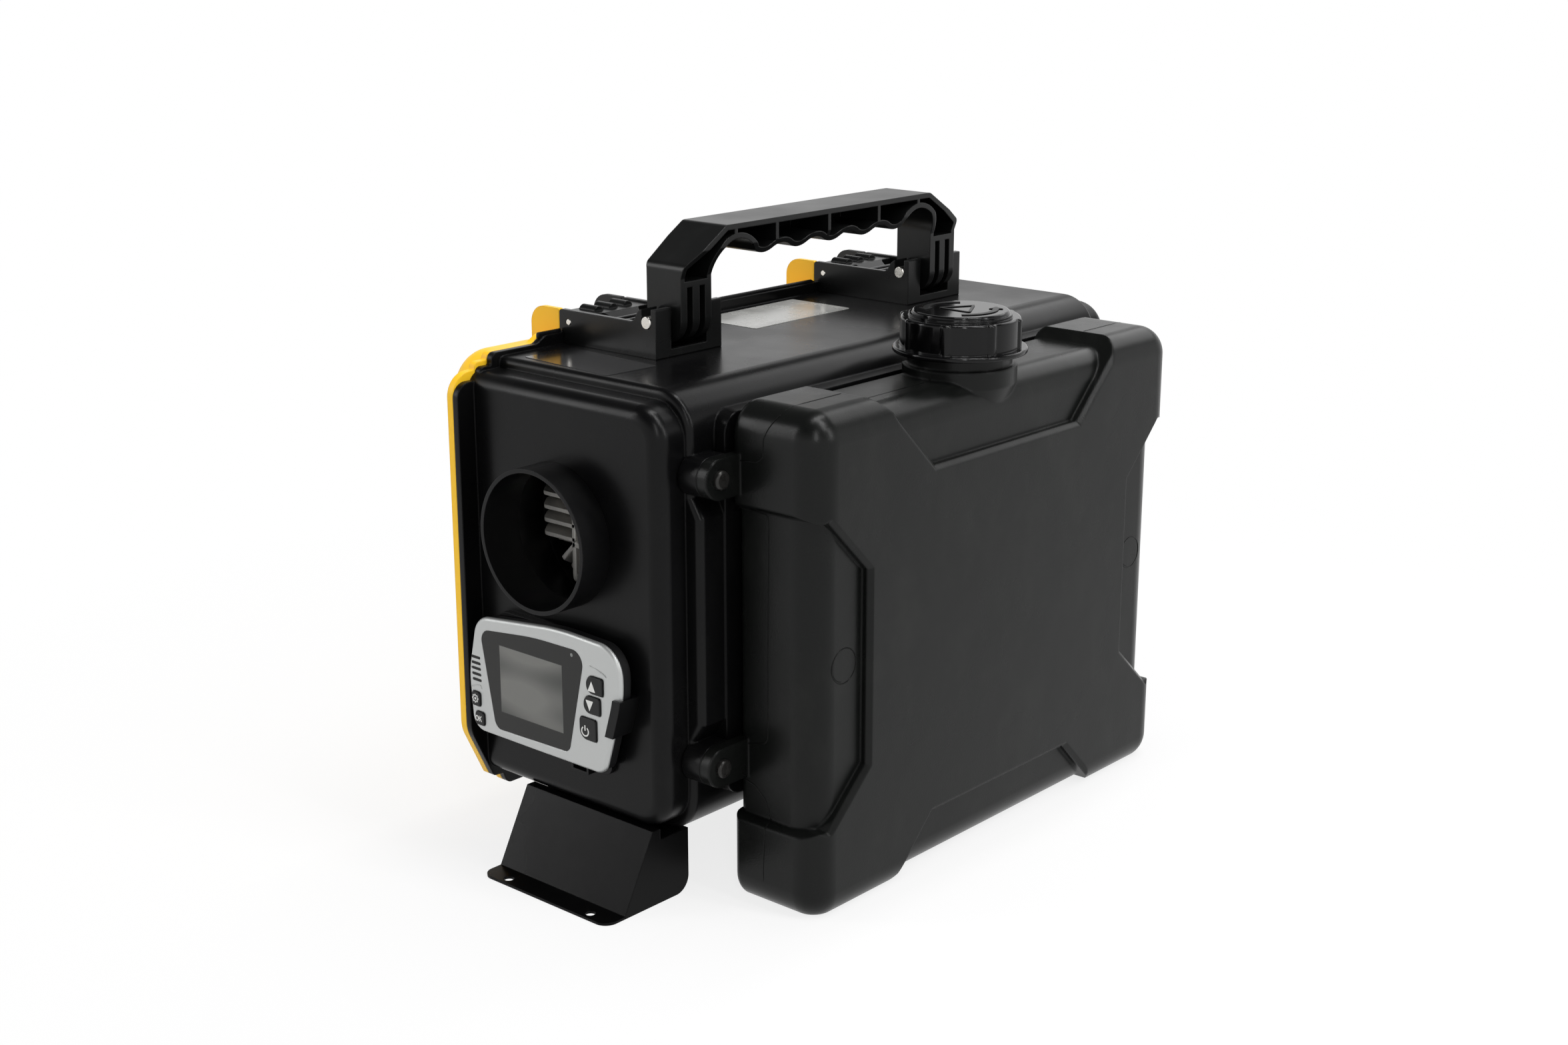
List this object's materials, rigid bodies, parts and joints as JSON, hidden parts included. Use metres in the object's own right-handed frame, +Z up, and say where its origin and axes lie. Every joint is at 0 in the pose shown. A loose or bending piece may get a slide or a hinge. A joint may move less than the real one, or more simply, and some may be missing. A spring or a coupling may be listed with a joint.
{
  "type": "portable diesel air heater",
  "caption": "Carry-case diesel air heater with a side fuel tank, screw cap, folding handle, latched yellow lid, warm-air outlet collar and a keypad controller on steel feet.",
  "frame": {"origin": "on the floor, in the middle of the whole heater seen from above", "axes": "+Z up, +Y along the case from the warm-air outlet to the air intake, +X across the case from the lid to the fuel tank"},
  "size_m": [0.26, 0.508, 0.3705],
  "materials": {
    "case_black": "moulded, satin",
    "tank_black": "blow moulded, satin",
    "handle_black": "moulded, satin",
    "cap_black": "moulded, gloss",
    "lid_yellow": "moulded, satin",
    "seal_rubber": "soft foam rubber",
    "foot_steel": "powder coated, satin",
    "pin_nickel": "nickel plated",
    "screw_black": "blackened steel",
    "collar_black": "moulded, satin",
    "cast_alloy": "as cast",
    "steel": "stainless, drawn",
    "motor_metal": "painted",
    "fan_plastic": "moulded",
    "box_plastic": "moulded",
    "brass_fitting": "turned",
    "hose_rubber": "smooth fuel hose",
    "filter_clear": "clouded, part clear",
    "bezel_silver": "silver paint, satin",
    "lens_dark": "printed behind, polished",
    "lcd_grey": "unlit display",
    "board_green": "solder mask",
    "button_rubber": "moulded, satin"
  },
  "bodies": {
    "heater": {"base_shell": "case_black", "latch_housing_near": "handle_black", "latch_housing_far": "handle_black", "handle_pin_near": "pin_nickel", "handle_pin_far": "pin_nickel", "latch_pin_near": "pin_nickel", "latch_pin_far": "pin_nickel", "fuel_tank": "tank_black", "tank_screws": "screw_black", "foot_near": "foot_steel", "foot_far": "foot_steel", "foot_screws": "screw_black", "outlet_collar": "collar_black", "heater_jacket_upper": "collar_black", "heater_jacket_lower": "collar_black", "heat_exchanger": "cast_alloy", "burner_tube": "steel", "glow_plug": "steel", "fan_motor": "motor_metal", "motor_bearings": "steel", "heater_cradle": "steel", "exhaust_pipe": "steel", "burner_air_pipe": "steel", "control_box": "box_plastic", "tank_fitting": "brass_fitting", "fuel_line_tank": "hose_rubber", "fuel_filter": "filter_clear", "fuel_line_filter": "hose_rubber", "fuel_pump": "steel", "pump_clip": "hose_rubber", "fuel_line_heater": "hose_rubber", "intake_grille": "collar_black", "power_inlet": "box_plastic", "hinge_pins": "pin_nickel", "controller_holder": "collar_black", "controller_back": "box_plastic", "controller_bezel": "bezel_silver", "controller_lens": "lens_dark", "lcd_panel": "lcd_grey", "controller_board": "board_green"},
    "lid": {"lid_shell": "lid_yellow", "lid_seal": "seal_rubber"},
    "handle": {"handle": "handle_black"},
    "latch_near": {"latch_lever_near": "handle_black"},
    "latch_far": {"latch_lever_far": "handle_black"},
    "cap_lift": {"cap_gasket": "seal_rubber"},
    "cap": {"filler_cap": "cap_black"},
    "fan": {"fan_rotor": "fan_plastic"},
    "key_up": {"button_up": "button_rubber"},
    "key_down": {"button_down": "button_rubber"},
    "key_power": {"button_power": "button_rubber"},
    "key_menu": {"button_menu": "button_rubber"},
    "key_ok": {"button_ok": "button_rubber"}
  },
  "joints": [
    {"name": "lid_hinge", "type": "hinge", "parent": "heater", "child": "lid", "pos_m": [-0.102, 0, 0.0283], "axis": [0, -1, 0], "range_deg": [0, 90]},
    {"name": "handle_swing", "type": "hinge", "parent": "heater", "child": "handle", "pos_m": [-0.0293, 0, 0.3176], "axis": [0, 1, 0], "range_deg": [0, 90]},
    {"name": "latch_near_turn", "type": "hinge", "parent": "heater", "child": "latch_near", "pos_m": [-0.0943, -0.1167, 0.31], "axis": [0, -1, 0], "range_deg": [0, 95]},
    {"name": "latch_far_turn", "type": "hinge", "parent": "heater", "child": "latch_far", "pos_m": [-0.0943, 0.1167, 0.31], "axis": [0, -1, 0], "range_deg": [0, 95]},
    {"name": "cap_rise", "type": "slide", "parent": "heater", "child": "cap_lift", "axis": [0, 0, 1], "range_m": [0, 0.012]},
    {"name": "cap_turn", "type": "hinge", "parent": "cap_lift", "child": "cap", "pos_m": [0.09, -0.0034, 0.312], "axis": [0, 0, 1], "range_deg": [0, 720]},
    {"name": "fan_spin", "type": "hinge", "parent": "heater", "child": "fan", "pos_m": [-0.0307, 0.11, 0.2066], "axis": [0, 1, 0], "continuous": true},
    {"name": "key_up_press", "type": "slide", "parent": "heater", "child": "key_up", "axis": [0, 1, 0], "range_m": [0, 0.0008], "stiffness_N_per_m": 400},
    {"name": "key_down_press", "type": "slide", "parent": "heater", "child": "key_down", "axis": [0, 1, 0], "range_m": [0, 0.0008], "stiffness_N_per_m": 400},
    {"name": "key_power_press", "type": "slide", "parent": "heater", "child": "key_power", "axis": [0, 1, 0], "range_m": [0, 0.0008], "stiffness_N_per_m": 400},
    {"name": "key_menu_press", "type": "slide", "parent": "heater", "child": "key_menu", "axis": [0, 1, 0], "range_m": [0, 0.0008], "stiffness_N_per_m": 400},
    {"name": "key_ok_press", "type": "slide", "parent": "heater", "child": "key_ok", "axis": [0, 1, 0], "range_m": [0, 0.0008], "stiffness_N_per_m": 400}
  ],
  "couplings": [
    {"joint": "cap_rise", "follows": "cap_turn", "m_per_rad": 0.00095483}
  ]
}
